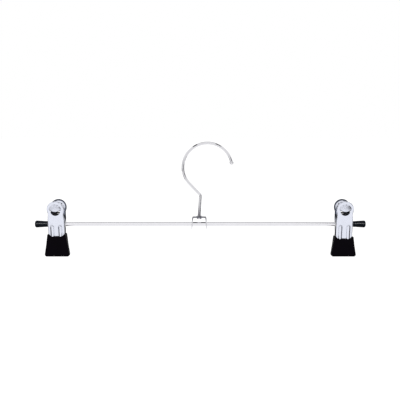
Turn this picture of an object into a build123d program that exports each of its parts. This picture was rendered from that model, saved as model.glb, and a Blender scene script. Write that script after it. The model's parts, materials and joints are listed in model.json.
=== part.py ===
from build123d import *
from math import acos, atan2, ceil, cos, degrees, floor, hypot, pi, radians, sin, sqrt, tan
import os

# Trouser hanger: a plated bar, two spring clips that slide on it, and a swivelling hook.
# It is drawn about the bar's axis, with X along the bar, Y to the back and Z up,
# and moved at the end so that its origin is where the hook rests on a rail.
# Lengths are in millimetres, angles in degrees.

# Clearances
running_clearance = 0.05
gripped_clearance = 0.02
rest_gap = 0.3

# Bar and end caps
overall_length = 316.9
bar_diameter = 4.0
bar_end_chamfer = 0.5
cap_length = 12.4
cap_end_diameter = 7.0
cap_mouth_diameter = 5.4
cap_end_wall = 1.8
cap_corner_radius = 1.7
cap_mouth_rounding = 0.35

# Saddle
saddle_sheet = 1.0
saddle_depth = 8.0
saddle_top_width = 13.6
saddle_top_height = 7.3
saddle_leg_drop = 5.1
saddle_leg_flare = 5.0
saddle_bend_radius = 1.1
saddle_offset = -1.0
saddle_collar_diameter = 5.2
saddle_collar_height = 0.8
saddle_edge_rounding = 0.25

# Hook
wire_diameter = 2.8
hook_radius = 23.4
hook_side_radius = 21.9
hook_centre_offset = 7.85
hook_centre_height = 54.2
hook_tip_angle = 11.5
hook_slant = 46.2
hook_knee_radius = 3.2
shank_lean = 3.6
shank_upright_height = 9.3
shank_lean_radius = 12.0
tip_ball_diameter = 4.0
shank_head_diameter = 4.7
shank_head_thickness = 1.5
shank_head_rounding = 0.6

# Clip plate
sheet = 0.9
plate_width = 15.4
head_overhang = 0.3
head_height = 15.0
head_half_depth = 10.9
neck_inset = 0.45
neck_height = 10.2
shoulder_height = 5.5
neck_fillet = 2.0
flare_start = 9.2
knee_drop = 20.0
jaw_drop = 31.2
jaw_end_width = 24.4
jaw_corner_radius = 2.0
side_blend_radius = 12.0
edge_rounding = 0.8
rim_depth = 2.0
rim_taper_start = 4.0
rim_end = 11.0
round_end = 15.0
ear_radius = 4.6
ear_rise = 8.6
ear_fall = 9.4
ear_gap = 0.15

# Pocket in the head
dome_radius = 5.8
dome_height = 1.9
dome_centre_height = 14.3
lip_height = 13.1
lip_radius = 8.4
opening_radius = 4.7
opening_centre_height = 13.5
opening_corner_radius = 0.9

# Ribs
rib_width = 3.2
rib_height = 0.8
rib_offset = 3.8
rib_top = 0.2
rib_end_margin = 1.0

# Pads
coat = 1.25
pad_gap = 0.3
left_dip_drop = 11.7
right_dip_drop = 14.1
shoulder_rise = 2.4
shoulder_width = 1.6
dip_edge_rounding = 0.5
pad_edge_rounding = 0.9

# Pivot sleeve
sleeve_wall = 0.45
sleeve_flange_thickness = 0.5
sleeve_flange_width = 0.75
sleeve_side_play = 0.1
sleeve_flange_rounding = 0.2

# Spring
spring_wire = 1.4
spring_pitch = 2.1
spring_sleeve_gap = 0.3
spring_ear_gap = 0.5
spring_end_height = 10.2
spring_tip_offset = 2.9
spring_bend_radius = 1.7
spring_seat_gap = 0.15
gap_samples = 48

# Cutting tools run past what they cut by this much
overrun = 2.0

# Sizes worked out from the ones above
bar_radius = bar_diameter / 2
wire_radius = wire_diameter / 2
half_length = overall_length / 2
cap_inner_end = half_length - cap_length
hook_centre_x = saddle_offset + hook_centre_offset
hook_centre = (hook_centre_x, hook_centre_height)
rail_seat_height = hook_centre_height + hook_radius - wire_radius
head_radius = plate_width / 2 + head_overhang
jaw_depth = pad_gap / 2 + coat + sheet
plate_lean = atan2(head_half_depth - jaw_depth, head_height + knee_drop)
sleeve_radius = bar_radius + running_clearance + sleeve_wall
sleeve_length = plate_width + 2 * (sleeve_side_play + sleeve_flange_thickness)
clip_reach = cap_inner_end - rest_gap - sleeve_length / 2
inset_ear_face = plate_width / 2 - sheet - ear_gap
spring_radius = sleeve_radius + spring_sleeve_gap + spring_wire / 2


# Helpers

def meeting_point(start, angle, other_start, other_angle):
    """Point where two lines meet, each given by a point and an angle."""
    ux, uy = cos(radians(angle)), sin(radians(angle))
    vx, vy = cos(radians(other_angle)), sin(radians(other_angle))
    dx, dy = other_start[0] - start[0], other_start[1] - start[1]
    reach = (dx * vy - dy * vx) / (ux * vy - uy * vx)
    return (start[0] + reach * ux, start[1] + reach * uy)


def on_circle(centre, radius, angle):
    """Point of a circle at an angle."""
    return (centre[0] + radius * cos(radians(angle)), centre[1] + radius * sin(radians(angle)))


def tube_along(path, radius):
    """Round wire along a path."""
    section = Plane(origin=path @ 0, z_dir=path % 0) * Circle(radius)
    return sweep(section, path=path)


def rod(radius, length):
    """Round rod along X, centred."""
    return Rot(0, 90, 0) * Cylinder(radius, length)


def side_prism(points, width):
    """Outline in the side view, given as (depth to the front, height), widened along X."""
    outline = Polygon(*[(-depth, height) for depth, height in points], align=None)
    return extrude(Plane.YZ * outline, amount=width / 2, both=True)


def front_prism(sketch, depth):
    """Outline in the front view, carried through the depth both ways."""
    return extrude(Plane.XZ * sketch, amount=depth, both=True)


# Bar, caps and saddle

def make_bar():
    inside_cap = half_length - cap_end_wall - rest_gap
    bar = rod(bar_radius, 2 * inside_cap)
    return chamfer(bar.edges(), bar_end_chamfer)


def make_end_cap(side):
    """Push-on cap, thicker at its closed end; side is 1 for the right end, -1 for the left."""
    bore = bar_radius + gripped_clearance
    end, mouth = cap_end_diameter / 2, cap_mouth_diameter / 2
    outline = Polygon((0, 0), (0, -cap_length), (mouth, -cap_length), (end, 0), align=None)
    outline = fillet(outline.vertices().sort_by(Axis.X)[-1], cap_corner_radius)
    outline = fillet(outline.vertices().group_by(Axis.Y)[0].sort_by(Axis.X)[-1], cap_mouth_rounding)
    cap = revolve(Plane.XZ * outline, Axis.Z)
    socket = Cylinder(bore, cap_length, align=(Align.CENTER, Align.CENTER, Align.MAX))
    cap -= Pos(0, 0, -cap_end_wall) * socket
    return Pos(side * half_length, 0, 0) * Rot(0, side * 90, 0) * cap


def make_saddle():
    """Strip bent over the bar, with round-ended legs and a collar where the shank turns."""
    middle_height = saddle_top_height - saddle_sheet / 2
    top_half = (saddle_top_width - saddle_sheet) / 2
    foot_half = top_half + (middle_height + saddle_leg_drop) * tan(radians(saddle_leg_flare))
    strip_line = FilletPolyline(
        (-foot_half, -saddle_leg_drop - overrun),
        (-top_half, middle_height),
        (top_half, middle_height),
        (foot_half, -saddle_leg_drop - overrun),
        radius=saddle_bend_radius,
    )
    strip = front_prism(trace(strip_line, saddle_sheet), saddle_depth / 2)
    foot_radius = saddle_depth / 2
    foot_centre = (0, foot_radius - saddle_leg_drop)
    straight = Rectangle(saddle_depth, 2 * saddle_top_height, align=(Align.CENTER, Align.MIN))
    leg_shape = Pos(*foot_centre) * (Circle(foot_radius) + straight)
    strip &= extrude(Plane.YZ * leg_shape, amount=saddle_top_width, both=True)
    collar_base = Pos(0, 0, middle_height)
    collar_size = saddle_collar_height + saddle_sheet / 2
    collar = collar_base * Cylinder(
        saddle_collar_diameter / 2, collar_size, align=(Align.CENTER, Align.CENTER, Align.MIN)
    )
    collar = fillet(collar.edges().sort_by(Axis.Z)[-1], saddle_edge_rounding)
    saddle = strip + collar
    shank_hole = Pos(0, 0, middle_height) * Cylinder(wire_radius + running_clearance, saddle_depth)
    saddle -= shank_hole
    saddle -= rod(bar_radius + gripped_clearance, 2 * saddle_top_width)
    return Pos(saddle_offset, 0, 0) * saddle


# Hook

def make_hook():
    """Wire bent to a hook, with a ball at its tip and an upset head under the saddle's top."""
    side_centre = (hook_centre_x - hook_radius + hook_side_radius, hook_centre_height)
    slant_sweep = 90 - hook_slant
    slant_start = on_circle(side_centre, hook_side_radius, 180 + slant_sweep)
    lean_start = (saddle_offset, shank_upright_height)
    knee = meeting_point(slant_start, -hook_slant, lean_start, 90 - shank_lean)
    head_top = saddle_top_height - saddle_sheet - running_clearance
    shank = FilletPolyline(
        (saddle_offset, head_top - shank_head_thickness / 2),
        lean_start,
        knee,
        slant_start,
        radius=[shank_lean_radius, hook_knee_radius],
    )
    side_bend = CenterArc(side_centre, hook_side_radius, 180 + slant_sweep, -slant_sweep)
    main_bend = CenterArc(hook_centre, hook_radius, 180, hook_tip_angle - 180)
    path = Plane.XZ * Wire([*shank.edges(), side_bend, main_bend])
    tip_x, tip_z = on_circle(hook_centre, hook_radius, hook_tip_angle)
    hook = tube_along(path, wire_radius) + Pos(tip_x, 0, tip_z) * Sphere(tip_ball_diameter / 2)
    head = Cylinder(
        shank_head_diameter / 2, shank_head_thickness, align=(Align.CENTER, Align.CENTER, Align.MAX)
    )
    head = fillet(head.edges().sort_by(Axis.Z)[0], shank_head_rounding)
    return hook + Pos(saddle_offset, 0, head_top) * head


# Clip plates. Each is drawn as the front plate, with its outer face towards -Y.

def face_depth(height):
    """How far a plate's outer face stands in front of the clip's middle at a height."""
    return jaw_depth + (height + knee_drop) * tan(plate_lean)


def web_plane(height):
    """Plane on the leaning outer face, X across, Y up along the face, Z outwards."""
    outwards = (0, -cos(plate_lean), -sin(plate_lean))
    return Plane(origin=(0, -face_depth(height), height), x_dir=(1, 0, 0), z_dir=outwards)


def jaw_half_width(height):
    """Half width of the flared jaw below where its flare starts."""
    share = (-flare_start - height) / (jaw_drop - coat - flare_start)
    return plate_width / 2 + share * (jaw_end_width / 2 - coat - plate_width / 2)


def plate_outline():
    """Front view of the sheet: round head, neck, straight body and flared jaw."""
    body = plate_width / 2
    neck = body - neck_inset
    foot = -jaw_drop + coat
    right = [
        (jaw_half_width(foot), foot),
        (body, -flare_start),
        (body, shoulder_height),
        (neck, neck_height),
        (neck, head_height),
    ]
    left = [(-x, z) for x, z in reversed(right)]
    blade = Polygon(*right, *left, align=None)
    feet = blade.vertices().group_by(Axis.Y)[0]
    blade = fillet(feet, jaw_corner_radius - coat / 2)
    bends = [v for v in blade.vertices() if -round_end < v.Y < head_height - sheet]
    blade = fillet(bends, side_blend_radius)
    outline = blade + Pos(0, head_height) * Circle(head_radius)
    necks = [v for v in outline.vertices() if neck_height + sheet < v.Y < head_height]
    return fillet(necks, neck_fillet)


def upper_depth(height, depth):
    """Depth to the front of a surface that lies level behind the outer face."""
    return face_depth(height) - depth / cos(plate_lean)


def make_tray(outline):
    """Upper part of the stamping: web, turned-in rim and a rounded outer edge."""
    top = head_height + head_radius + overrun
    through = 2 * head_half_depth
    block_profile = [
        (face_depth(top), top),
        (face_depth(-round_end), -round_end),
        (upper_depth(-round_end, sheet), -round_end),
        (upper_depth(-rim_end, sheet), -rim_end),
        (upper_depth(-rim_taper_start, rim_depth), -rim_taper_start),
        (upper_depth(top, rim_depth), top),
    ]
    block = side_prism(block_profile, jaw_end_width) & front_prism(outline, through)
    outwards = Vector(0, -cos(plate_lean), -sin(plate_lean))
    face = max(block.faces().filter_by(GeomType.PLANE), key=lambda f: f.normal_at().dot(outwards))
    block = fillet(face.edges().sort_by(Axis.Z)[1:], edge_rounding)
    hollow_profile = [
        (upper_depth(top, sheet), top),
        (upper_depth(-round_end, sheet), -round_end),
        (upper_depth(-round_end, 2 * rim_depth), -round_end),
        (upper_depth(top, 2 * rim_depth), top),
    ]
    hollow = side_prism(hollow_profile, jaw_end_width) & front_prism(offset(outline, -sheet), through)
    return block - hollow


def make_jaw(outline):
    """Lower part of the stamping, straight where the jaws meet; the pad covers it."""
    foot = -jaw_drop
    profile = [
        (face_depth(-round_end), -round_end),
        (jaw_depth, -knee_drop),
        (jaw_depth, foot),
        (jaw_depth - sheet, foot),
        (jaw_depth - sheet, -knee_drop + sheet * tan(plate_lean / 2)),
        (upper_depth(-round_end, sheet), -round_end),
    ]
    return side_prism(profile, jaw_end_width) & front_prism(outline, 2 * head_half_depth)


def make_ear(outer_x):
    """One ear: a web from the plate's inside to a round eye about the pivot."""
    half = sheet / 2
    high = (-face_depth(ear_rise) + half, ear_rise)
    low = (-face_depth(-ear_fall) + half, -ear_fall)
    eye = Edge.make_circle(ear_radius)
    shape = make_hull([eye, Edge.make_line(high, low)])
    ear = extrude(Plane.YZ * shape, amount=sheet)
    return Pos(outer_x - sheet, 0, 0) * ear


def make_pocket():
    """The head's half-dome, its hollow, and the crescent below its lip."""
    plane = web_plane(dome_centre_height)
    lip = lip_height - dome_centre_height
    crescent_centre = opening_centre_height - dome_centre_height
    sphere_radius = (dome_radius**2 + dome_height**2) / (2 * dome_height)
    centre = Pos(0, 0, dome_height - sphere_radius)
    reach = dome_height + overrun
    above_lip = Pos(0, lip + lip_radius) * Circle(lip_radius)
    lip_column = extrude(above_lip, amount=reach, both=True)
    outside = Box(
        plate_width, plate_width, dome_height + sheet / 2, align=(Align.CENTER, Align.CENTER, Align.MIN)
    )
    outside = Pos(0, 0, -sheet / 2) * outside
    dome = centre * Sphere(sphere_radius) & lip_column & outside
    hollow = centre * Sphere(sphere_radius - sheet) & lip_column
    crescent = Pos(0, crescent_centre) * Circle(opening_radius) - above_lip
    crescent = fillet(crescent.vertices(), opening_corner_radius)
    opening = extrude(crescent, amount=reach, both=True)
    return plane * dome, plane * hollow, plane * opening


def make_rib(offset_x):
    """Rounded rib pressed out of the face from below the pivot to the knee, and its hollow."""
    plane = web_plane(-rib_top)
    radius = ((rib_width / 2) ** 2 + rib_height**2) / (2 * rib_height)
    length = (knee_drop - rib_top) / cos(plate_lean) - rib_end_margin - rib_width
    start = Pos(offset_x, -rib_width / 2, rib_height - radius)

    def capsule(capsule_radius):
        barrel = Rot(90, 0, 0) * Cylinder(
            capsule_radius, length, align=(Align.CENTER, Align.CENTER, Align.MIN)
        )
        ball = Sphere(capsule_radius)
        return start * (barrel + ball + Pos(0, -length, 0) * ball)

    outside = Box(
        plate_width, knee_drop, rib_height + sheet / 2, align=(Align.CENTER, Align.MAX, Align.MIN)
    )
    rib = capsule(radius) & Pos(0, sheet, -sheet / 2) * outside
    return plane * rib, plane * capsule(radius - sheet)


def make_front_plate():
    """Stamped plate: tray, jaw, two ears, pocket and two hollow ribs."""
    outline = plate_outline()
    plate = make_tray(outline) + make_jaw(outline)
    ears = make_ear(plate_width / 2) + make_ear(sheet - inset_ear_face)
    plate += ears & front_prism(outline, head_half_depth)
    dome, hollow, opening = make_pocket()
    plate = plate + dome - hollow - opening
    for offset_x in (-rib_offset, rib_offset):
        rib, rib_hollow = make_rib(offset_x)
        plate = plate + rib - rib_hollow
    return plate - rod(sleeve_radius + running_clearance, 2 * plate_width)


# Pads

def pad_outline(dip_drop):
    """Front view of the dipped jaw: a trapezium whose top edge climbs at both sides."""
    foot = -jaw_drop
    shoulder = -dip_drop + shoulder_rise
    foot_half = jaw_end_width / 2
    side_angle = (foot_half - coat - plate_width / 2) / (jaw_drop - coat - flare_start)
    shoulder_half = foot_half + (foot - shoulder) * side_angle
    right = [
        (foot_half, foot),
        (shoulder_half, shoulder - dip_edge_rounding),
        (shoulder_half - dip_edge_rounding, shoulder),
        (shoulder_half - shoulder_width, shoulder - dip_edge_rounding),
        (shoulder_half - 2 * shoulder_width, -dip_drop),
    ]
    left = [(-x, z) for x, z in reversed(right)]
    outline = Polygon(*right, *left, align=None)
    return fillet(outline.vertices().group_by(Axis.Y)[0], jaw_corner_radius)


def outer_rims(block, dip_drop):
    """Edges round the sides and the foot of a pad's outer faces."""
    faces = [face for face in block.faces() if face.normal_at().Y < -cos(2 * plate_lean)]
    edges = [edge for face in faces for edge in face.edges()]
    low_edges = [edge for edge in edges if edge.center().Z < -dip_drop - shoulder_rise / 2]
    return [
        edge for edge in low_edges
        if abs(edge.center().X) > plate_width / 2 or edge.center().Z < -knee_drop - coat
    ]


def make_front_pad(plate, dip_drop):
    """Dipped coat round the plate's jaw, flat where the two jaws meet."""
    top = 0
    slope = cos(plate_lean)
    outer_shift = coat / slope
    profile = [
        (face_depth(top) + outer_shift, top),
        (jaw_depth + coat, -knee_drop - coat * tan(plate_lean / 2)),
        (jaw_depth + coat, -jaw_drop),
        (pad_gap / 2, -jaw_drop),
        (pad_gap / 2, -knee_drop + (sheet + coat) * tan(plate_lean / 2)),
        (face_depth(top) - (sheet + coat) / slope, top),
    ]
    block = side_prism(profile, 2 * jaw_end_width) & front_prism(pad_outline(dip_drop), head_half_depth)
    return fillet(outer_rims(block, dip_drop), pad_edge_rounding) - plate


# Pivot sleeve and spring

def make_sleeve():
    """Tubular rivet with a rolled flange at each end."""
    bore = bar_radius + running_clearance
    flange = sleeve_radius + sleeve_flange_width
    half = sleeve_length / 2
    shoulder = half - sleeve_flange_thickness
    profile = Polygon(
        (bore, -half),
        (flange, -half),
        (flange, -shoulder),
        (sleeve_radius, -shoulder),
        (sleeve_radius, shoulder),
        (flange, shoulder),
        (flange, half),
        (bore, half),
        align=None,
    )
    rims = profile.vertices().group_by(Axis.X)[-1]
    profile = fillet(rims, sleeve_flange_rounding)
    return Rot(0, 90, 0) * revolve(Plane.XZ * profile, Axis.Z)


def biarc(start, start_direction, end, end_direction):
    """Two tangent arcs from one point and direction to another."""
    chord = end - start
    both = start_direction + end_direction
    spread = 2 * (1 - start_direction.dot(end_direction))
    along = chord.dot(both)
    reach = (sqrt(along**2 + spread * chord.dot(chord)) - along) / spread
    first_corner = start + start_direction * reach
    second_corner = end - end_direction * reach
    joint = (first_corner + second_corner) / 2
    first = TangentArc(start, joint, tangent=start_direction)
    second = TangentArc(joint, end, tangent=second_corner - first_corner)
    return [first, second]


def spring_path():
    """Coil about the pivot whose two legs run up inside the plates and turn across the pockets."""
    seat = face_depth(spring_end_height) - sheet / cos(plate_lean) - spring_seat_gap - spring_wire / 2
    aim = degrees(atan2(spring_end_height, seat) - acos(spring_radius / hypot(seat, spring_end_height)))
    room = 2 * (inset_ear_face - sheet - spring_ear_gap) - spring_wire
    turns = floor(room / spring_pitch - aim / 180 - 1 / 4)
    start_angle = 180 - aim
    end_angle = 360 * (turns + 1) + aim
    turning = end_angle - start_angle - 180
    length = spring_pitch * (turning / 360 + 1 / 4)
    lead = spring_pitch / (2 * pi * spring_radius)

    def coil_point(angle, x):
        return Vector(x, spring_radius * cos(radians(angle)), spring_radius * sin(radians(angle)))

    def coil_direction(angle, climb):
        return Vector(climb, -sin(radians(angle)), cos(radians(angle))).normalized()

    steps = ceil(turning / 180)
    stations = [(start_angle, -length / 2, 0)]
    for i in range(steps + 1):
        angle = start_angle + 90 + turning * i / steps
        x = -length / 2 + spring_pitch * (1 / 8 + turning * i / steps / 360)
        stations.append((angle, x, lead))
    stations.append((end_angle, length / 2, 0))

    coil = []
    for (angle_a, x_a, climb_a), (angle_b, x_b, climb_b) in zip(stations, stations[1:]):
        coil += biarc(
            coil_point(angle_a, x_a),
            coil_direction(angle_a, climb_a),
            coil_point(angle_b, x_b),
            coil_direction(angle_b, climb_b),
        )

    def leg(side, foot):
        corner = (-side * length / 2, -side * seat, spring_end_height)
        tip = (side * spring_tip_offset, -side * seat, spring_end_height)
        return FilletPolyline(tip, corner, foot, radius=spring_bend_radius)

    front_leg = leg(1, coil_point(start_angle, -length / 2))
    back_leg = leg(-1, coil_point(end_angle, length / 2))
    path = Wire([*front_leg.edges(), *coil, *back_leg.edges()])
    samples = [
        arc @ (i / gap_samples) for arc in coil for i in range(gap_samples)
    ]
    one_turn = round(gap_samples * len(coil) * 360 / (turning + 180))
    nearest = min(
        (samples[i] - samples[j]).length
        for i in range(len(samples))
        for j in range(i + one_turn // 2, len(samples))
    )
    return path, nearest - spring_wire


def make_spring():
    path, gap = spring_path()
    print(f"spring: least gap between turns {gap:.2f} mm")
    return tube_along(path, spring_wire / 2)


# Assembly

to_rail_seat = Pos(-hook_centre_x, 0, -rail_seat_height)
half_turn = Rot(0, 0, 180)

front_plate = make_front_plate()
sleeve = make_sleeve()
spring = make_spring()

nodes = {
    "bar": make_bar(),
    "left_end_cap": make_end_cap(-1),
    "right_end_cap": make_end_cap(1),
    "saddle": make_saddle(),
    "swivel_hook": make_hook(),
}
for name, side, dip_drop in (("left", -1, left_dip_drop), ("right", 1, right_dip_drop)):
    place = Pos(side * clip_reach, 0, 0)
    front_pad = make_front_pad(front_plate, dip_drop)
    nodes[f"{name}_pivot_sleeve"] = place * sleeve
    nodes[f"{name}_spring"] = place * spring
    nodes[f"{name}_front_plate"] = place * front_plate
    nodes[f"{name}_back_plate"] = place * half_turn * front_plate
    nodes[f"{name}_front_pad"] = place * front_pad
    nodes[f"{name}_back_pad"] = place * half_turn * front_pad

os.makedirs("parts", exist_ok=True)
for name, solid in nodes.items():
    export_step(to_rail_seat * solid, f"parts/{name}.step")
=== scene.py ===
import json
import math

import bpy
from mathutils import Matrix, Vector


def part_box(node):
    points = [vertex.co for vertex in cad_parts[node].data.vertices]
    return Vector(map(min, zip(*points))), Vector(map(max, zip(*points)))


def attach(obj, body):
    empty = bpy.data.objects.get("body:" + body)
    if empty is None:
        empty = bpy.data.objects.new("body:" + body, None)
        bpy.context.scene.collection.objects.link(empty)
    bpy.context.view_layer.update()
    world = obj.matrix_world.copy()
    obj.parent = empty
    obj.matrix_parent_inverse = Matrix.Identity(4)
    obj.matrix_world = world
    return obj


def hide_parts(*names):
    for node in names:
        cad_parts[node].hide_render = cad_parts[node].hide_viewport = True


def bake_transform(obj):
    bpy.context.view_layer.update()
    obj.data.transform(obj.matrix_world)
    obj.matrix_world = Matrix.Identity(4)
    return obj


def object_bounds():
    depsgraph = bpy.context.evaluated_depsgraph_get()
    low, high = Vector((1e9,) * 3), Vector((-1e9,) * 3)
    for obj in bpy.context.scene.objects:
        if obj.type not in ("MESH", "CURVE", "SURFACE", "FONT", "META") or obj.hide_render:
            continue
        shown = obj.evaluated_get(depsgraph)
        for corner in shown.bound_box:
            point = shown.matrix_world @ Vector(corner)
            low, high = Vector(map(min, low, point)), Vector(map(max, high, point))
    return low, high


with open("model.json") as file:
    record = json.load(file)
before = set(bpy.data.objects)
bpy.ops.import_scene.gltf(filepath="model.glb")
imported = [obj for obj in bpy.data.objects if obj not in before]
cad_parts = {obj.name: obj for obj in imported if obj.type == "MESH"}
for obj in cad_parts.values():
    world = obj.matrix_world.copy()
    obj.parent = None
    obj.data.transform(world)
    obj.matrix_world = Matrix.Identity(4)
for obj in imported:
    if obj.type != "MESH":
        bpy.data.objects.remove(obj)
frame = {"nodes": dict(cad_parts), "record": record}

# The trouser hanger's looks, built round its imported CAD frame. Lengths are in metres.
cad_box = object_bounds()
nodes = frame["nodes"]
MM = 0.001

# The photograph's frame and camera. The pixel place is in its 400 x 400 frame.
PHOTO_SIZE = 400
BAR_MIDDLE_PIXEL = (200.3, 224.0)
SENSOR_WIDTH = 36.0
LENS = 78.4
CAMERA_DISTANCE = 0.836
CAMERA_PITCH = math.radians(5.7)

# Clip plate and spring, as they are in the solids. Heights are above the bar's middle.
SHEET = 0.9 * MM
PLATE_LEAN = math.radians(13.805)
JAW_DEPTH = 2.3 * MM
KNEE_DROP = 20.0 * MM
RIM_DEPTH = 2.0 * MM
HEAD_HEIGHT = 15.0 * MM
DOME_CENTRE_HEIGHT = 14.3 * MM
LIP_HEIGHT = 13.1 * MM
LIP_RADIUS = 8.4 * MM
SPRING_WIRE = 1.4 * MM
SPRING_RADIUS = 3.5 * MM
SPRING_TURNS = 4
SPRING_PITCH = 2.1 * MM
SPRING_END_HEIGHT = 10.2 * MM
SPRING_TIP_OFFSET = 2.9 * MM
SPRING_BEND_RADIUS = 1.7 * MM
SPRING_SEAT_GAP = 0.15 * MM
WIRE_SIDES = 20
COIL_SAMPLES_PER_TURN = 40

# Where a clip plate is painted with shade, dark reflection and shadow, and where its dome is drawn. Each
# pair is where a step starts and where it is full.
# The deep rims' and ears' painted shade and dark reflection, kept off the bar's height
RIM_SHADE_DEPTH = (0.88 * RIM_DEPTH, 0.98 * RIM_DEPTH)
RIM_SHADE_OFF_BAR = (1.0 * MM, 1.5 * MM)
EAR_END = (6.5 * MM, 8.125 * MM)
EAR_SIDE_SHADE_FOOT = (-2.2 * MM, -1.6 * MM)
FACING_INWARDS = (0.1, 0.5)
# The painted shade inside the plates, near the spring
INSIDE_SHADE_RAGGEDNESS = 5 * MM
INSIDE_SHADE_TOP = (HEAD_HEIGHT, HEAD_HEIGHT + 4.5 * MM)
INSIDE_SHADE_TOP_AT_SIDE = (9.5 * MM, 12.5 * MM)
INSIDE_SHADE_SHIFT = 3.5 * MM
INSIDE_SHADE_SIDE = (7.2 * MM, 8.2 * MM)
# The dome, which is drawn duller, and the painted shadow along its lip
DOME_RISE = (0.1 * MM, 0.6 * MM)
DOME_FOOT = (6 * MM, 8 * MM)
LIP_EDGE = (LIP_RADIUS - 0.6 * MM, LIP_RADIUS - 0.4 * MM)

# Where the saddle's sheared edges and painted shade lie, and where the hook's shank is greased, from the
# saddle's top upwards
SADDLE_BEND = (-6 * MM, -2 * MM)
FACING_DOWN = (-0.3, -0.8)
FACING_FRONT_OR_BACK = (0.85, 1.0)
EDGE_RAGGEDNESS = 0.1
SHANK_RAGGEDNESS = 3 * MM
SHANK_GREASE_END = (-3 * MM, 13 * MM)
SHANK_GREASE_FOOT = (-1.3 * MM, -0.9 * MM)
SHANK_GREASE_SHARE = 0.85

# Textures: scales in waves per metre, the reach of edges and creases, and the depth of bumps
MOTTLE_SCALE = 260
GRAIN_SCALE = 2600
SCRATCH_SCALES = (2200, 2200, 160)
STAIN_SCALE = 420
CLOUD_SCALE = 130
CHROME_EDGE = 0.35 * MM
VINYL_EDGE = 0.5 * MM
CREASE_REACH = 0.9 * MM
MOTTLE_DEPTH = 0.05 * MM
GRAIN_DEPTH = 0.012 * MM
LINE_DEPTH = 0.02 * MM
RUN_DEPTH = 0.12 * MM
VINYL_PEEL_DEPTH = 0.03 * MM

# How much duller each kind of wear, and each place of painted shade, makes a surface
SMUDGE_DULLNESS = 0.05
SCRATCH_DULLNESS = 0.06
WORN_DULLNESS = 0.16
CREASE_SHADE_DULLNESS = 0.15
SOILED_AND_SHADED_DULLNESS = 0.22
DRAWN_DULLNESS = 0.24
SCUFF_DULLNESS = 0.15

# Colours of greased metal and sheared edges, and of shade and dark reflection painted on metal
# Painted shade in creases, such as at the feet of the plates' ribs
CREASE_SHADE = (0.11, 0.125, 0.16)
# Painted shade: the plates' insides near the spring, and under the saddle's top
DEEP_SHADE = (0.008, 0.009, 0.013)
SWIVEL_GREASE = (0.2, 0.19, 0.22)
# Painted shade and dark reflection on the plates' deep rims and lower ears, and painted shadow on their
# domes' lips
RIM_SHADE = (0.045, 0.055, 0.08)
# Painted shade and dark reflection on the ears' sides near the bar's height, lighter than on the rims
EAR_SIDE_SHADE = (0.24, 0.27, 0.33)
SHEARED_LEG = (0.7, 0.7, 0.73)
# Painted shade on the saddle's cut edges near its top
SHADED_TOP_EDGE = (0.17, 0.17, 0.2)

# Floor and studio
FLOOR_DROP = 0.34
FLOOR_SIZE = 30.0
PAPER_TONE = 0.5
FLOOR_GLOW = 0.65
FLOOR_GLOW_TO_CAMERA = 0.21
WORLD_LIGHT = 0.55
WORLD_SEEN = 1.0
STUDIO_MIDDLE = Vector((0.0, 0.0, -0.05))


# Small helpers for node trees

def new_node(tree, kind, inputs=None, **settings):
    """A node of that kind, with its settings, and with values or links on its inputs."""
    node = tree.nodes.new(kind)
    for key, value in settings.items():
        setattr(node, key, value)
    for key, value in (inputs or {}).items():
        set_input(tree, node.inputs[key], value)
    return node


def set_input(tree, socket, value):
    """Link the socket to another node's output, or give it a value."""
    if isinstance(value, bpy.types.NodeSocket):
        tree.links.new(value, socket)
    else:
        socket.default_value = value


def grey(value):
    return (value, value, value, 1.0)


def math_node(tree, operation, *values):
    return new_node(tree, "ShaderNodeMath", dict(enumerate(values)), operation=operation).outputs[0]


def times(tree, first, second):
    return math_node(tree, "MULTIPLY", first, second)


def plus(tree, first, second):
    return math_node(tree, "ADD", first, second)


def minus(tree, first, second):
    return math_node(tree, "SUBTRACT", first, second)


def larger(tree, first, second):
    return math_node(tree, "MAXIMUM", first, second)


def size_of(tree, value):
    return math_node(tree, "ABSOLUTE", value)


def opposite(tree, share):
    return minus(tree, 1.0, share)


def axes(tree, vector):
    """The X, Y and Z of a vector."""
    return new_node(tree, "ShaderNodeSeparateXYZ", {0: vector}).outputs


def noise(tree, vector, scale, detail=3.0):
    inputs = {"Vector": vector, "Scale": scale, "Detail": detail, "Roughness": 0.55}
    return new_node(tree, "ShaderNodeTexNoise", inputs).outputs["Fac"]


def ramp(tree, value, *stops):
    """Colour ramp through two (place, colour) stops."""
    node = new_node(tree, "ShaderNodeValToRGB", {"Fac": value})
    for element, (place, colour) in zip(node.color_ramp.elements, stops):
        element.position = place
        element.color = (*colour, 1)
    return node.outputs["Color"]


def map_range(tree, value, source, target):
    """The value moved evenly from one (low, high) range to another, and kept inside it."""
    inputs = {"Value": value}
    inputs |= {"From Min": source[0], "From Max": source[1], "To Min": target[0], "To Max": target[1]}
    return new_node(tree, "ShaderNodeMapRange", inputs).outputs["Result"]


def step_up(tree, value, start, full):
    """0 before the start, 1 where it is full, smooth between."""
    node = new_node(tree, "ShaderNodeMapRange", {"Value": value, "From Min": start, "From Max": full})
    node.interpolation_type = "SMOOTHSTEP"
    return node.outputs["Result"]


def mix_colour(tree, factor, first, second):
    """first where the factor is 0, second where it is 1."""
    node = new_node(tree, "ShaderNodeMix", data_type="RGBA")
    for socket, value in ((node.inputs[0], factor), (node.inputs[6], first), (node.inputs[7], second)):
        set_input(tree, socket, (*value, 1) if isinstance(value, tuple) else value)
    return node.outputs[2]


def scaled_place(tree, scale):
    """Object coordinates, stretched by a scale for each axis."""
    place = new_node(tree, "ShaderNodeTexCoord").outputs["Object"]
    return new_node(tree, "ShaderNodeMapping", {"Vector": place, "Scale": scale}).outputs["Vector"]


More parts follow.
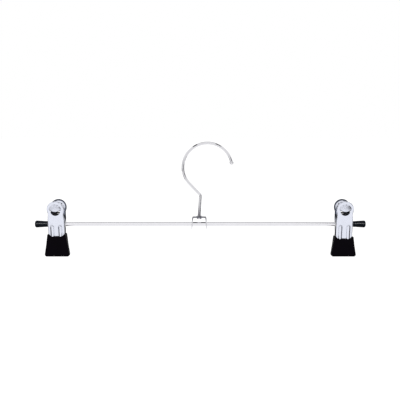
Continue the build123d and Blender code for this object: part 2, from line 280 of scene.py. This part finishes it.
def edge_mask(tree, radius):
    """1 along sharp edges, 0 on open faces."""
    rounded = new_node(tree, "ShaderNodeBevel", {"Radius": radius}, samples=6).outputs["Normal"]
    true_normal = new_node(tree, "ShaderNodeNewGeometry").outputs["Normal"]
    inputs = {0: rounded, 1: true_normal}
    agreement = new_node(tree, "ShaderNodeVectorMath", inputs, operation="DOT_PRODUCT").outputs["Value"]
    return map_range(tree, agreement, (0.995, 0.88), (0.0, 1.0))


def crease_mask(tree, reach):
    """1 in a crease as sharp as a rib's foot, 0 on open faces."""
    inputs = {"Distance": reach}
    node = new_node(tree, "ShaderNodeAmbientOcclusion", inputs, samples=8, only_local=True)
    return map_range(tree, node.outputs["AO"], (0.96, 0.78), (0.0, 1.0))


def bump(tree, height, strength, distance, normal=None):
    inputs = {"Height": height, "Strength": strength, "Distance": distance}
    if normal is not None:
        inputs["Normal"] = normal
    return new_node(tree, "ShaderNodeBump", inputs).outputs["Normal"]


def start_material(name):
    material = bpy.data.materials.new(name)
    material.use_nodes = True
    tree = material.node_tree
    return material, tree, tree.nodes["Principled BSDF"]


def middle_of(node_name):
    low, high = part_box(node_name)
    return (low + high) / 2


# Materials

def chrome(name, clean, worn, roughness, peel, soiling_and_shade=None):
    """Chrome plate: a soft mottle, fine handling scratches, an orange-peel surface and duller edges.

    The soiling and shade function gives, from the tree and its mottle, the share of dull surface, its
    colour, and the share of metal that was drawn soft by its die. With it, creases are painted darker as
    shade.
    """
    material, tree, shader = start_material(name)
    place = scaled_place(tree, (1, 1, 1))
    mottle = noise(tree, place, MOTTLE_SCALE, detail=4)
    grain = noise(tree, place, GRAIN_SCALE, detail=2)
    scratches = noise(tree, scaled_place(tree, SCRATCH_SCALES), 1.0, detail=2)
    edges = edge_mask(tree, CHROME_EDGE)
    worn_share = times(tree, edges, map_range(tree, mottle, (0.35, 0.7), (0.2, 0.9)))
    base = ramp(tree, mottle, (0.3, tuple(c * 0.955 for c in clean)), (0.65, clean))
    base = mix_colour(tree, worn_share, base, worn)
    dullness = map_range(tree, scratches, (0.45, 0.75), (roughness, roughness + SCRATCH_DULLNESS))
    dullness = plus(tree, dullness, map_range(tree, mottle, (0.4, 0.75), (0.0, SMUDGE_DULLNESS)))
    dullness = plus(tree, dullness, times(tree, worn_share, WORN_DULLNESS))
    if soiling_and_shade:
        # Creases are painted darker as shade, found by ambient occlusion and varied by the mottle
        crease_strength = map_range(tree, mottle, (0.3, 0.6), (0.5, 0.85))
        crease_shade = times(tree, crease_mask(tree, CREASE_REACH), crease_strength)
        soiled_and_shaded, soiled_and_shaded_colour, drawn = soiling_and_shade(tree, mottle)
        base = mix_colour(tree, crease_shade, base, CREASE_SHADE)
        base = mix_colour(tree, soiled_and_shaded, base, soiled_and_shaded_colour)
        dulled_shares = ((crease_shade, CREASE_SHADE_DULLNESS), (soiled_and_shaded, SOILED_AND_SHADED_DULLNESS), (drawn, DRAWN_DULLNESS))
        for share, added in dulled_shares:
            dullness = plus(tree, dullness, times(tree, share, added))
    tree.links.new(base, shader.inputs["Base Color"])
    shader.inputs["Metallic"].default_value = 1.0
    tree.links.new(dullness, shader.inputs["Roughness"])
    peeled = bump(tree, mottle, peel, MOTTLE_DEPTH)
    tree.links.new(bump(tree, grain, peel / 2, GRAIN_DEPTH, peeled), shader.inputs["Normal"])
    return material


def off_clips(tree, x, outwards=0.0):
    """How far x is from the nearer clip's middle, or from a place that far out from it on the bar."""
    distances = []
    for clip in ("left", "right"):
        middle = middle_of(f"{clip}_pivot_sleeve").x
        distances.append(size_of(tree, minus(tree, x, middle + math.copysign(outwards, middle))))
    return math_node(tree, "MINIMUM", *distances)


def plate_depth(tree, height, out):
    """How deep a place on a clip plate is below the plate's outer face."""
    slope = times(tree, plus(tree, height, KNEE_DROP), math.tan(PLATE_LEAN))
    face = plus(tree, slope, JAW_DEPTH)
    return times(tree, minus(tree, face, out), math.cos(PLATE_LEAN))


def past_lip(tree, height, proud, off_middle):
    """1 on a dome's open lip, 0 above it, by the distance from the middle of the lip's arc."""
    lift = times(tree, plus(tree, proud, SHEET / 2), math.sin(PLATE_LEAN))
    up_dome = minus(tree, plus(tree, height, lift), DOME_CENTRE_HEIGHT)
    up_dome = math_node(tree, "DIVIDE", up_dome, math.cos(PLATE_LEAN))
    below_centre = minus(tree, up_dome, LIP_HEIGHT + LIP_RADIUS - DOME_CENTRE_HEIGHT)
    squares = [math_node(tree, "POWER", value, 2.0) for value in (off_middle, below_centre)]
    return step_up(tree, math_node(tree, "SQRT", plus(tree, *squares)), *LIP_EDGE)


def plate_painted_shade(tree, mottle):
    """A clip plate's dark share, its colour, and the share that is its drawn dome.

    Painted dark are its deep rims, whose edges are sheared, and its ears, as shade and dark reflection
    between the plates; its inside near the spring, as shade; and its dome's lip, as a shadow.
    """
    coordinates = new_node(tree, "ShaderNodeTexCoord").outputs
    place = axes(tree, coordinates["Object"])
    facing = axes(tree, coordinates["Normal"])
    height = minus(tree, place["Z"], middle_of("bar").z)
    off_bar = size_of(tree, height)
    depth = plate_depth(tree, height, size_of(tree, place["Y"]))
    # Deep rims and ears, away from the bar's height: painted shade and dark reflection
    cut_edges_and_shade = times(tree, step_up(tree, depth, *RIM_SHADE_DEPTH), step_up(tree, off_bar, *RIM_SHADE_OFF_BAR))

    # Inward faces near the spring, below the head: painted shade
    outwards = times(tree, facing["Y"], math_node(tree, "SIGN", place["Y"]))
    inside = step_up(tree, times(tree, outwards, -1.0), *FACING_INWARDS)
    ragged = plus(tree, height, times(tree, mottle, INSIDE_SHADE_RAGGEDNESS))
    off_inside_shade = off_clips(tree, place["X"], INSIDE_SHADE_SHIFT)
    in_middle = opposite(tree, step_up(tree, off_inside_shade, *INSIDE_SHADE_SIDE))
    below_head = opposite(tree, step_up(tree, ragged, *INSIDE_SHADE_TOP_AT_SIDE))
    near_spring = opposite(tree, step_up(tree, ragged, *INSIDE_SHADE_TOP))
    near_spring = times(tree, near_spring, larger(tree, in_middle, below_head))
    darkened = times(tree, inside, near_spring)

    # The ears' sides near the bar's height get a lighter painted shade; below it, the rims' darker painted
    # shade
    off_ear = step_up(tree, off_bar, *EAR_END)
    ear_side_shade = opposite(tree, larger(tree, off_ear, darkened))
    ear_side_shade = times(tree, ear_side_shade, step_up(tree, height, *EAR_SIDE_SHADE_FOOT))
    colour = mix_colour(tree, ear_side_shade, RIM_SHADE, EAR_SIDE_SHADE)
    colour = mix_colour(tree, darkened, colour, DEEP_SHADE)

    proud = times(tree, depth, -1.0)
    on_dome = times(tree, step_up(tree, proud, *DOME_RISE), step_up(tree, height, *DOME_FOOT))
    # The dome's lip: a painted shadow along its edge
    at_lip = past_lip(tree, height, proud, off_clips(tree, place["X"]))
    dark = larger(tree, larger(tree, cut_edges_and_shade, darkened), times(tree, at_lip, on_dome))
    return dark, colour, on_dome


def saddle_edges_and_shade(tree, mottle):
    """The saddle's dull share and colour: sheared front and back edges, painted with shade near its top, and
    painted shade under its top.
    """
    coordinates = new_node(tree, "ShaderNodeTexCoord").outputs
    facing = axes(tree, coordinates["Normal"])
    above_top = minus(tree, axes(tree, coordinates["Object"])["Z"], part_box("saddle")[1].z)
    bent = step_up(tree, above_top, *SADDLE_BEND)
    ragged = plus(tree, size_of(tree, facing["Y"]), times(tree, mottle, EDGE_RAGGEDNESS))
    cut_edges_and_shade = step_up(tree, ragged, *FACING_FRONT_OR_BACK)
    # Faces under the saddle's top get painted shade, and its cut edges near the top get painted shade too
    underneath = times(tree, step_up(tree, facing["Z"], *FACING_DOWN), bent)
    colour = mix_colour(tree, bent, SHEARED_LEG, SHADED_TOP_EDGE)
    colour = mix_colour(tree, underneath, colour, DEEP_SHADE)
    return larger(tree, cut_edges_and_shade, underneath), colour, 0.0


def hook_soiling(tree, mottle):
    """The hook's dull share and colour: grease on its shank, thinner away from the saddle."""
    place = new_node(tree, "ShaderNodeTexCoord").outputs["Object"]
    above_saddle = minus(tree, axes(tree, place)["Z"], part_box("saddle")[1].z)
    ragged = minus(tree, above_saddle, times(tree, mottle, SHANK_RAGGEDNESS))
    clean = step_up(tree, ragged, *SHANK_GREASE_END)
    above_head = step_up(tree, above_saddle, *SHANK_GREASE_FOOT)
    darkened = times(tree, opposite(tree, clean), above_head)
    return times(tree, darkened, SHANK_GREASE_SHARE), SWIVEL_GREASE, 0.0


def brushed_metal(name, colour, dark, roughness, along):
    """Drawn or turned metal: fine lines along one axis, darker in the lines, and faint stains."""
    material, tree, shader = start_material(name)
    lines = noise(tree, scaled_place(tree, along), 1.0)
    mottle = noise(tree, scaled_place(tree, (1, 1, 1)), STAIN_SCALE)
    base = ramp(tree, lines, (0.32, dark), (0.62, colour))
    stained = tuple(c * 0.8 for c in colour)
    base = mix_colour(tree, map_range(tree, mottle, (0.5, 0.8), (0.0, 0.6)), base, stained)
    tree.links.new(base, shader.inputs["Base Color"])
    shader.inputs["Metallic"].default_value = 1.0
    dullness = map_range(tree, lines, (0.3, 0.7), (roughness + 0.1, roughness))
    tree.links.new(dullness, shader.inputs["Roughness"])
    tree.links.new(bump(tree, lines, 0.25, LINE_DEPTH), shader.inputs["Normal"])
    return material


def vinyl(name, colour, scuff, roughness, specular, peel_size, streaks):
    """Black vinyl: a faint orange peel, soft runs from the dip or mould, and scuffed edges."""
    material, tree, shader = start_material(name)
    place = scaled_place(tree, (1, 1, 1))
    peel = noise(tree, place, 1 / peel_size, detail=2)
    runs = noise(tree, scaled_place(tree, streaks), 1.0, detail=2)
    cloud = noise(tree, place, CLOUD_SCALE)
    edges = edge_mask(tree, VINYL_EDGE)
    scuffed = times(tree, edges, map_range(tree, cloud, (0.4, 0.65), (0.15, 0.9)))
    lighter = tuple(c * 1.5 for c in colour)
    base = mix_colour(tree, map_range(tree, cloud, (0.35, 0.7), (0.0, 1.0)), colour, lighter)
    base = mix_colour(tree, scuffed, base, scuff)
    tree.links.new(base, shader.inputs["Base Color"])
    shader.inputs["Specular IOR Level"].default_value = specular
    dullness = map_range(tree, cloud, (0.3, 0.7), (roughness - 0.05, roughness + 0.07))
    dullness = plus(tree, dullness, times(tree, scuffed, SCUFF_DULLNESS))
    tree.links.new(dullness, shader.inputs["Roughness"])
    run_normal = bump(tree, runs, 0.35, RUN_DEPTH)
    tree.links.new(bump(tree, peel, 0.25, VINYL_PEEL_DEPTH, run_normal), shader.inputs["Normal"])
    return material


MATERIALS = {
    "bright_chrome": chrome(
        "bright_chrome", clean=(0.85, 0.845, 0.88), worn=(0.72, 0.72, 0.74), roughness=0.05, peel=0.06
    ),
    "hook_chrome": chrome(
        "hook_chrome", clean=(0.77, 0.765, 0.795), worn=(0.6, 0.6, 0.62), roughness=0.05, peel=0.06,
        soiling_and_shade=hook_soiling,
    ),
    "saddle_chrome": chrome(
        "saddle_chrome", clean=(0.85, 0.845, 0.88), worn=(0.6, 0.6, 0.63), roughness=0.08, peel=0.1,
        soiling_and_shade=saddle_edges_and_shade,
    ),
    "chrome_plate": chrome(
        "chrome_plate", clean=(0.78, 0.805, 0.905), worn=(0.6, 0.61, 0.69), roughness=0.12, peel=0.2,
        soiling_and_shade=plate_painted_shade,
    ),
    "nickel_sleeve": brushed_metal(
        "nickel_sleeve", colour=(0.66, 0.66, 0.66), dark=(0.48, 0.48, 0.48), roughness=0.2,
        along=(3000, 300, 300),
    ),
    # Near-black wire, darker than bare spring steel: painted shade for the dark inside of the clips, where
    # the spring sits
    "spring_wire": brushed_metal(
        "spring_wire", colour=(0.035, 0.035, 0.038), dark=(0.012, 0.012, 0.013), roughness=0.24,
        along=(500, 2600, 2600),
    ),
    "dipped_vinyl": vinyl(
        "dipped_vinyl", colour=(0.0023, 0.0014, 0.0033), scuff=(0.008, 0.0075, 0.009), roughness=0.42,
        specular=0.03, peel_size=0.5 * MM, streaks=(260, 260, 60),
    ),
    "black_vinyl": vinyl(
        "black_vinyl", colour=(0.0006, 0.0009, 0.0014), scuff=(0.006, 0.0075, 0.01), roughness=0.14,
        specular=0.03, peel_size=0.35 * MM, streaks=(60, 400, 400),
    ),
}


def finish_cad_nodes():
    """Each CAD node gets its slot's procedural material, or its own where it wears in its own way."""
    own_finish = {"saddle": "saddle_chrome", "swivel_hook": "hook_chrome"}
    for part in frame["record"]["subparts"]:
        finish = own_finish.get(part["node"], part["material_slot"])
        for material_slot in nodes[part["node"]].material_slots:
            material_slot.material = MATERIALS[finish]


# Springs. Each coil is a fixed piece, and each leg goes with its own plate.

def spring_seat():
    """How far a leg stands from the pivot, inside its plate."""
    inner_face = JAW_DEPTH + (SPRING_END_HEIGHT + KNEE_DROP) * math.tan(PLATE_LEAN)
    return inner_face - SHEET / math.cos(PLATE_LEAN) - SPRING_SEAT_GAP - SPRING_WIRE / 2


def spring_angles():
    """Angles of the coil's ends, at the front leg and the back leg, turned from the back through the top."""
    seat = spring_seat()
    slope = math.atan2(SPRING_END_HEIGHT, seat)
    aim = slope - math.acos(SPRING_RADIUS / math.hypot(seat, SPRING_END_HEIGHT))
    return math.pi - aim, math.tau * (SPRING_TURNS + 1) + aim


def coil_centreline(pivot):
    """Points along the coil, whose pitch eases in and out over a quarter turn at each end."""
    start, end = spring_angles()
    turning = end - start
    quarter = math.pi / 2
    count = int(COIL_SAMPLES_PER_TURN * turning / math.tau)
    points = []
    for i in range(count + 1):
        turned = turning * i / count
        eased_in = min(turned, quarter) ** 2 / (2 * quarter)
        eased_out = max(turned - (turning - quarter), 0.0) ** 2 / (2 * quarter)
        steady = min(max(turned - quarter, 0.0), turning - quarter)
        x = SPRING_PITCH * (eased_in + steady - eased_out) / math.tau
        angle = start + turned
        y, z = SPRING_RADIUS * math.cos(angle), SPRING_RADIUS * math.sin(angle)
        points.append(pivot + Vector((x, y, z)))
    middle = (points[0].x + points[-1].x) / 2 - pivot.x
    return [point - Vector((middle, 0, 0)) for point in points]


def rounded_corner(before, corner, after, radius, count=10):
    """Points of the arc that rounds a corner."""
    first, second = (before - corner).normalized(), (after - corner).normalized()
    half = first.angle(second) / 2
    reach = radius / math.tan(half)
    centre = corner + (first + second).normalized() * (radius / math.sin(half))
    start, end = corner + first * reach - centre, corner + second * reach - centre
    arc = start.angle(end)
    points = []
    for i in range(count + 1):
        share = i / count
        mixed = start * math.sin((1 - share) * arc) + end * math.sin(share * arc)
        points.append(centre + mixed / math.sin(arc))
    return points


def leg_centreline(pivot, side, foot):
    """A leg from its tip across the pocket, round its bend and down to the coil; side is 1 in front."""
    depth = -side * spring_seat()
    corner = Vector((foot.x, pivot.y + depth, pivot.z + SPRING_END_HEIGHT))
    tip = Vector((pivot.x + side * SPRING_TIP_OFFSET, corner.y, corner.z))
    return [tip, *rounded_corner(tip, corner, foot, SPRING_BEND_RADIUS), foot]


def wire_rings(points, radius):
    """Rings across a wire along points, as (middle, across, upwards, radius), shrinking at each end."""
    start_tangent = (points[1] - points[0]).normalized()
    end_tangent = (points[-1] - points[-2]).normalized()
    normal = start_tangent.orthogonal().normalized()
    rings = []
    for i, point in enumerate(points):
        ahead = points[min(i + 1, len(points) - 1)]
        behind = points[max(i - 1, 0)]
        tangent = (ahead - behind).normalized()
        normal = (normal - tangent * normal.dot(tangent)).normalized()
        rings.append((point, normal.copy(), tangent.cross(normal), radius))
    for step in (0.5, 0.85, 0.98):
        shrunk = radius * math.sqrt(1 - step**2)
        bulge = radius * step * 0.5
        first, last = rings[0], rings[-1]
        rings.insert(0, (points[0] - start_tangent * bulge, first[1], first[2], shrunk))
        rings.append((points[-1] + end_tangent * bulge, last[1], last[2], shrunk))
    return rings


def wire_mesh(name, points):
    """The spring's round wire along points, with a rounded cap at each end."""
    rings = wire_rings(points, SPRING_WIRE / 2)
    vertices, faces = [], []
    for point, across, upwards, size in rings:
        for k in range(WIRE_SIDES):
            turn = math.tau * k / WIRE_SIDES
            vertices.append(point + (across * math.cos(turn) + upwards * math.sin(turn)) * size)
    for r in range(len(rings) - 1):
        for k in range(WIRE_SIDES):
            a, b = r * WIRE_SIDES + k, r * WIRE_SIDES + (k + 1) % WIRE_SIDES
            faces.append((a, b, b + WIRE_SIDES, a + WIRE_SIDES))
    faces.append(tuple(reversed(range(WIRE_SIDES))))
    last = (len(rings) - 1) * WIRE_SIDES
    faces.append(tuple(range(last, last + WIRE_SIDES)))
    mesh = bpy.data.meshes.new(name)
    mesh.from_pydata([tuple(v) for v in vertices], [], faces)
    mesh.validate()
    for polygon in mesh.polygons:
        polygon.use_smooth = len(polygon.vertices) == 4
    return mesh


def add_wire(name, points):
    wire = bpy.data.objects.new(name, wire_mesh(name, points))
    bpy.context.scene.collection.objects.link(wire)
    wire.data.materials.append(MATERIALS["spring_wire"])
    return wire


def add_spring(side):
    """One clip's spring in three pieces: its coil and its front and back legs."""
    pivot = middle_of(f"{side}_pivot_sleeve")
    coil_points = coil_centreline(pivot)
    front, back = coil_points[0], coil_points[-1]
    coil = add_wire(f"{side}_spring_coil", coil_points)
    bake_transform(coil)
    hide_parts(f"{side}_spring")
    for part, facing, foot in (("front", 1, front), ("back", -1, back)):
        leg = add_wire(f"{side}_spring_{part}_leg", leg_centreline(pivot, facing, foot))
        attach(leg, f"{side}_{part}_jaw")


# Camera, light and stage

def add_camera():
    """The photograph's camera: raised a little, level across, with the bar's middle at its pixel."""
    forward = Vector((0, math.cos(CAMERA_PITCH), -math.sin(CAMERA_PITCH)))
    up = Vector((0, math.sin(CAMERA_PITCH), math.cos(CAMERA_PITCH)))
    right = Vector((1, 0, 0))
    metres_per_pixel = SENSOR_WIDTH / PHOTO_SIZE * CAMERA_DISTANCE / LENS
    across = (BAR_MIDDLE_PIXEL[0] - PHOTO_SIZE / 2) * metres_per_pixel
    down = (BAR_MIDDLE_PIXEL[1] - PHOTO_SIZE / 2) * metres_per_pixel
    data = bpy.data.cameras.new("photo_camera")
    data.lens = LENS
    data.sensor_width = SENSOR_WIDTH
    data.clip_start = 0.01
    data.clip_end = 100.0
    camera = bpy.data.objects.new("photo_camera", data)
    bpy.context.scene.collection.objects.link(camera)
    place = middle_of("bar") - forward * CAMERA_DISTANCE - right * across + up * down
    rotation = Matrix((right, up, -forward)).transposed()
    camera.matrix_world = Matrix.Translation(place) @ rotation.to_4x4()
    bpy.context.scene.camera = camera


def seen_directly(tree):
    """1 for camera, glossy and transmission rays, 0 for the rest."""
    path = new_node(tree, "ShaderNodeLightPath").outputs
    seen = larger(tree, path["Is Camera Ray"], path["Is Glossy Ray"])
    return larger(tree, seen, path["Is Transmission Ray"])


def add_world():
    """A white world that lights the hanger at about half of the strength at which it is seen."""
    world = bpy.data.worlds.new("studio")
    world.use_nodes = True
    bpy.context.scene.world = world
    tree = world.node_tree
    background = tree.nodes["Background"]
    background.inputs["Color"].default_value = grey(1.0)
    strength = map_range(tree, seen_directly(tree), (0.0, 1.0), (WORLD_LIGHT, WORLD_SEEN))
    tree.links.new(strength, background.inputs["Strength"])


def plane_mesh(name, width, height):
    mesh = bpy.data.meshes.new(name)
    x, y = width / 2, height / 2
    mesh.from_pydata([(-x, -y, 0), (x, -y, 0), (x, y, 0), (-x, y, 0)], [], [(0, 1, 2, 3)])
    return mesh


def emptied_material(name):
    """A material without its shader, its tree, and the socket of its surface."""
    material = bpy.data.materials.new(name)
    material.use_nodes = True
    tree = material.node_tree
    tree.nodes.remove(tree.nodes["Principled BSDF"])
    return material, tree, tree.nodes["Material Output"].inputs["Surface"]


def white_glow(tree, strength):
    return new_node(tree, "ShaderNodeEmission", {"Color": grey(1.0), "Strength": strength}).outputs[0]


def add_floor():
    """A pale floor below the hanger that keeps its shadow."""
    floor = bpy.data.objects.new("floor", plane_mesh("floor", FLOOR_SIZE, FLOOR_SIZE))
    bpy.context.scene.collection.objects.link(floor)
    floor.location.z = cad_box[0][2] - FLOOR_DROP
    material, tree, surface = emptied_material("floor")
    paper = new_node(tree, "ShaderNodeBsdfDiffuse", {"Color": grey(PAPER_TONE)}).outputs[0]
    to_camera = new_node(tree, "ShaderNodeLightPath").outputs["Is Camera Ray"]
    seen = times(tree, seen_directly(tree), FLOOR_GLOW)
    glow = white_glow(tree, plus(tree, seen, times(tree, to_camera, FLOOR_GLOW_TO_CAMERA)))
    both = new_node(tree, "ShaderNodeAddShader", {0: paper, 1: glow}).outputs[0]
    tree.links.new(both, surface)
    floor.data.materials.append(material)


def aimed(place, target):
    """Transform at a place whose -Z looks at the target."""
    direction = Vector(target) - Vector(place)
    return Matrix.Translation(place) @ direction.to_track_quat("-Z", "Y").to_matrix().to_4x4()


def around(turn, rise, distance):
    """Place round the hanger: turn from the front to the right, and rise, in degrees."""
    turn, rise = math.radians(turn), math.radians(rise)
    level = math.cos(rise) * distance
    offset = Vector((math.sin(turn) * level, -math.cos(turn) * level, math.sin(rise) * distance))
    return STUDIO_MIDDLE + offset


def add_lamp(name, place, width, height, power, lit_node=None):
    """A soft box that chrome doesn't mirror, or one that lights a single glossy node."""
    data = bpy.data.lights.new(name, "AREA")
    data.shape = "RECTANGLE"
    data.size, data.size_y = width, height
    data.energy = power
    lamp = bpy.data.objects.new(name, data)
    bpy.context.scene.collection.objects.link(lamp)
    lamp.matrix_world = aimed(place, STUDIO_MIDDLE)
    if lit_node:
        lit = bpy.data.collections.new(name)
        lit.objects.link(nodes[lit_node])
        lamp.light_linking.receiver_collection = lit
    else:
        lamp.visible_glossy = False


def add_flag(name, mesh, transform, tone, fade=None):
    """A dark or grey card round the hanger, seen only as a reflection in its metal.

    fade is the height of its darkest line, and how far from there it turns white.
    """
    flag = bpy.data.objects.new(name, mesh)
    bpy.context.scene.collection.objects.link(flag)
    flag.matrix_world = transform
    material, tree, surface = emptied_material(name)
    if fade:
        darkest, reach = fade
        height = axes(tree, new_node(tree, "ShaderNodeTexCoord").outputs["Object"])["Z"]
        off_darkest = size_of(tree, minus(tree, height, darkest))
        tone = map_range(tree, off_darkest, (0.0, reach), (tone, 1.0))
    tree.links.new(white_glow(tree, tone), surface)
    mesh.materials.append(material)
    flag.visible_camera = False
    flag.visible_diffuse = False
    flag.visible_shadow = False
    flag.visible_transmission = False


def add_card(name, place, width, height, tone):
    """A flat card that faces the hanger."""
    add_flag(name, plane_mesh(name, width, height), aimed(place, STUDIO_MIDDLE), tone)


def add_ceiling_rail(name, place, width, length, tone):
    """A level card above the hanger, longer from front to back."""
    add_flag(name, plane_mesh(name, width, length), Matrix.Translation(place), tone)


def add_wall(name, radius, low, high, start, end, tone, fade=None, steps=48):
    """Upright band round the hanger between two heights and two turns, which are as in around."""
    vertices, faces = [], []
    for i in range(steps + 1):
        turn = math.radians(start + (end - start) * i / steps)
        x, y = radius * math.sin(turn), -radius * math.cos(turn)
        vertices += [(x, y, low), (x, y, high)]
    for i in range(steps):
        a = 2 * i
        faces.append((a, a + 2, a + 3, a + 1))
    mesh = bpy.data.meshes.new(name)
    mesh.from_pydata(vertices, [], faces)
    add_flag(name, mesh, Matrix.Identity(4), tone, fade)


def add_clip_lighting(side, cap):
    """A lamp for a cap's highlight, and an upright card that draws the dark lines of its clip's ribs."""
    place = (side * 0.42, -1.3, 0.42)
    add_lamp("cap_light", place, width=0.5, height=0.8, power=130.0, lit_node=cap)
    upright = Matrix.Rotation(math.radians(90), 4, "Y")
    beside_clip = Matrix.Translation((side * 0.25, -0.02, -0.15)) @ upright
    add_flag("rib_flag", plane_mesh("rib_flag", width=0.07, height=0.15), beside_clip, tone=0.03)


def add_studio():
    """Soft boxes, and what the metal mirrors: cards and walls from near black to light grey."""
    add_lamp("key_light", around(turn=-20, rise=40, distance=1.5), width=1.1, height=0.6, power=4.0)
    add_lamp("top_light", around(turn=0, rise=88, distance=1.6), width=1.2, height=0.6, power=3.0)
    add_clip_lighting(-1, "left_end_cap")
    add_clip_lighting(1, "right_end_cap")
    above_behind = around(turn=180, rise=62, distance=1.4)
    add_card("ceiling_flag", above_behind, width=1.0, height=0.9, tone=0.15)
    right_front = around(turn=58, rise=4, distance=1.05)
    add_card("right_front_flag", right_front, width=0.9, height=0.55, tone=0.03)
    add_ceiling_rail("left_ceiling_rail", (-0.64, -0.6, 1.03), width=0.3, length=3.2, tone=0.02)
    add_ceiling_rail("right_ceiling_rail", (0.58, -1.2, 1.03), width=0.36, length=2.6, tone=0.02)
    add_wall("table_edge", radius=1.2, low=-0.25, high=-0.15, start=-150, end=-50, tone=0.3)
    add_wall("back_wall", radius=1.25, low=-0.3, high=0.6, start=115, end=245, tone=0.62)
    add_wall(
        "front_wall", radius=1.22, low=-0.45, high=0.45, start=-110, end=60, tone=0.72, fade=(-0.02, 0.4)
    )


finish_cad_nodes()
for clip_side in ("left", "right"):
    add_spring(clip_side)
add_camera()
add_world()
add_floor()
add_studio()
bpy.context.scene.view_settings.view_transform = "Standard"
